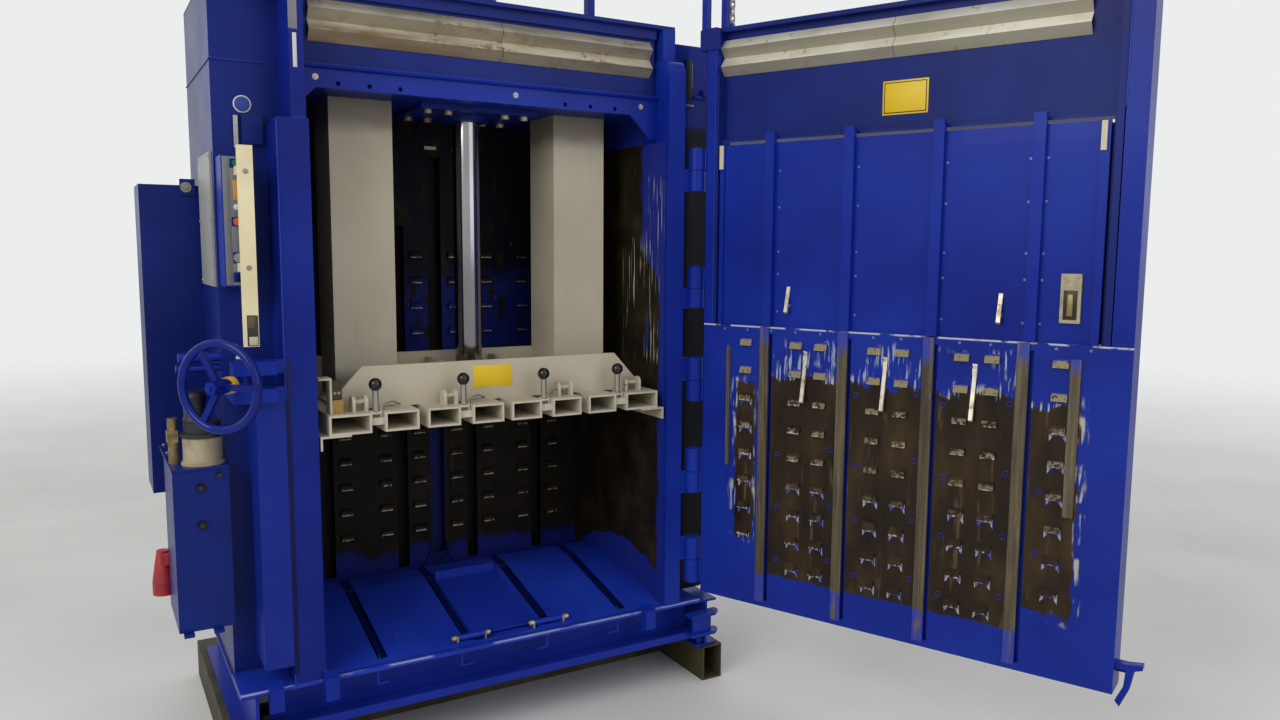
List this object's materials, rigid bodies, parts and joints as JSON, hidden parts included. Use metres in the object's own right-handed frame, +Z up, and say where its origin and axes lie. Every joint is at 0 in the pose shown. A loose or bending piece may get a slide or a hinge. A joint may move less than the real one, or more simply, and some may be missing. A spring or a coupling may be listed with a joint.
{
  "type": "recycling baler",
  "caption": "Vertical baling press with swing door, sliding loading flap, hollow tube platen on a ram, strap channels, claw plates and handwheel lock.",
  "frame": {"origin": "On the floor under the ram's vertical centre line, midway between the chamber's side walls, on the underside of the skids' front cross tube.", "axes": "+Z up, along the ram. +X from the service side with the handwheel to the hinge side. +Y from the open front to the back wall."},
  "size_m": [2.4169, 2.3609, 3.29],
  "materials": {
    "blue_paint": "gloss",
    "deep_blue_paint": "gloss",
    "bright_blue_paint": "gloss",
    "platen_paint": "worn satin",
    "rail_steel": "worn",
    "rusty_steel": "rough, rusty",
    "strip_steel": "worn",
    "skid_paint": "dull",
    "rod_chrome": "polished",
    "cream_plastic": "satin",
    "grey_panel": "satin",
    "black_plastic": "gloss",
    "green_plastic": "gloss",
    "orange_plastic": "gloss",
    "brass_fittings": "dull",
    "motor_grey": "satin",
    "red_plastic": "satin"
  },
  "bodies": {
    "frame": {"skid_frame": "skid_paint", "base_frame": "deep_blue_paint", "floor_plate": "blue_paint", "left_post": "blue_paint", "right_post": "blue_paint", "side_walls": "rusty_steel", "back_wall": "rusty_steel", "back_claws": "rusty_steel", "header_arch": "blue_paint", "header_box": "deep_blue_paint", "frame_rails": "rail_steel", "crosshead": "deep_blue_paint", "ram_cylinder": "deep_blue_paint", "cylinder_gland": "deep_blue_paint", "flange_bolts": "rail_steel", "service_column": "blue_paint", "side_panel": "grey_panel", "control_box": "blue_paint", "interlock_bar": "cream_plastic", "cover_plate": "bright_blue_paint", "lock_lugs": "blue_paint", "side_cabinet": "blue_paint", "power_unit": "blue_paint", "pump_motor": "motor_grey", "pipe_fittings": "brass_fittings", "power_inlet": "red_plastic", "frame_knuckles": "blue_paint", "sill_lugs": "blue_paint", "floor_hinge_pins": "rail_steel"},
    "platen": {"ram_rod": "rod_chrome", "platen_columns": "platen_paint", "platen_tubes": "platen_paint", "platen_plates": "platen_paint", "platen_skids": "platen_paint", "lever_brackets": "cream_plastic"},
    "door": {"door_frame": "blue_paint", "door_panel": "rusty_steel", "door_claws": "rusty_steel", "door_strips": "strip_steel", "door_header": "deep_blue_paint", "door_rails": "rail_steel", "guide_uprights": "blue_paint", "door_knuckles": "blue_paint", "door_hooks": "rail_steel", "latch_foot": "blue_paint"},
    "flap": {"loading_flap": "blue_paint", "flap_ribs": "blue_paint", "flap_handles": "rail_steel", "flap_lock": "rail_steel"},
    "button_start": {"button_start": "green_plastic"},
    "button_stop": {"button_stop": "orange_plastic"},
    "button_reset": {"button_reset": "black_plastic"},
    "selector_knob": {"selector_knob": "grey_panel"},
    "lock_arm": {"lock_arm": "blue_paint"},
    "handwheel": {"handwheel": "blue_paint"},
    "ejector_plate": {"ejector_plate": "blue_paint"},
    "lever_1": {"lever_1": "black_plastic"},
    "lever_2": {"lever_2": "black_plastic"},
    "lever_3": {"lever_3": "black_plastic"},
    "lever_4": {"lever_4": "black_plastic"}
  },
  "joints": [
    {"name": "platen_slide", "type": "slide", "parent": "frame", "child": "platen", "axis": [0, 0, 1], "range_m": [-0.24, 0.79]},
    {"name": "door_hinge", "type": "hinge", "parent": "frame", "child": "door", "pos_m": [0.72, -0.362, 1.2], "axis": [0, 0, 1], "range_deg": [-113.3, 60]},
    {"name": "flap_slide", "type": "slide", "parent": "door", "child": "flap", "axis": [0, 0, 1], "range_m": [0, 0.6]},
    {"name": "lock_arm_swing", "type": "hinge", "parent": "frame", "child": "lock_arm", "pos_m": [-0.805, -0.374, 1.24], "axis": [0, 0, 1], "range_deg": [-20, 45]},
    {"name": "handwheel_spin", "type": "hinge", "parent": "lock_arm", "child": "handwheel", "pos_m": [-0.805, -0.374, 1.24], "axis": [-0.7071, -0.7071, 0], "continuous": true},
    {"name": "ejector_tilt", "type": "hinge", "parent": "frame", "child": "ejector_plate", "pos_m": [0, -0.312, 0.3425], "axis": [1, 0, 0], "range_deg": [0, 45]},
    {"name": "start_press", "type": "slide", "parent": "frame", "child": "button_start", "axis": [0, 1, 0], "range_m": [0, 0.004]},
    {"name": "stop_press", "type": "slide", "parent": "frame", "child": "button_stop", "axis": [0, 1, 0], "range_m": [0, 0.004]},
    {"name": "reset_press", "type": "slide", "parent": "frame", "child": "button_reset", "axis": [0, 1, 0], "range_m": [0, 0.004]},
    {"name": "selector_turn", "type": "hinge", "parent": "frame", "child": "selector_knob", "pos_m": [-0.792, -0.312, 1.586], "axis": [0, 1, 0], "range_deg": [-45, 45]},
    {"name": "lever_1_tip", "type": "hinge", "parent": "platen", "child": "lever_1", "pos_m": [-0.4215, -0.326, 1.115], "axis": [1, 0, 0], "range_deg": [-20, 60]},
    {"name": "lever_2_tip", "type": "hinge", "parent": "platen", "child": "lever_2", "pos_m": [-0.1405, -0.326, 1.115], "axis": [1, 0, 0], "range_deg": [-20, 60]},
    {"name": "lever_3_tip", "type": "hinge", "parent": "platen", "child": "lever_3", "pos_m": [0.1405, -0.326, 1.115], "axis": [1, 0, 0], "range_deg": [-20, 60]},
    {"name": "lever_4_tip", "type": "hinge", "parent": "platen", "child": "lever_4", "pos_m": [0.4215, -0.326, 1.115], "axis": [1, 0, 0], "range_deg": [-20, 60]}
  ]
}
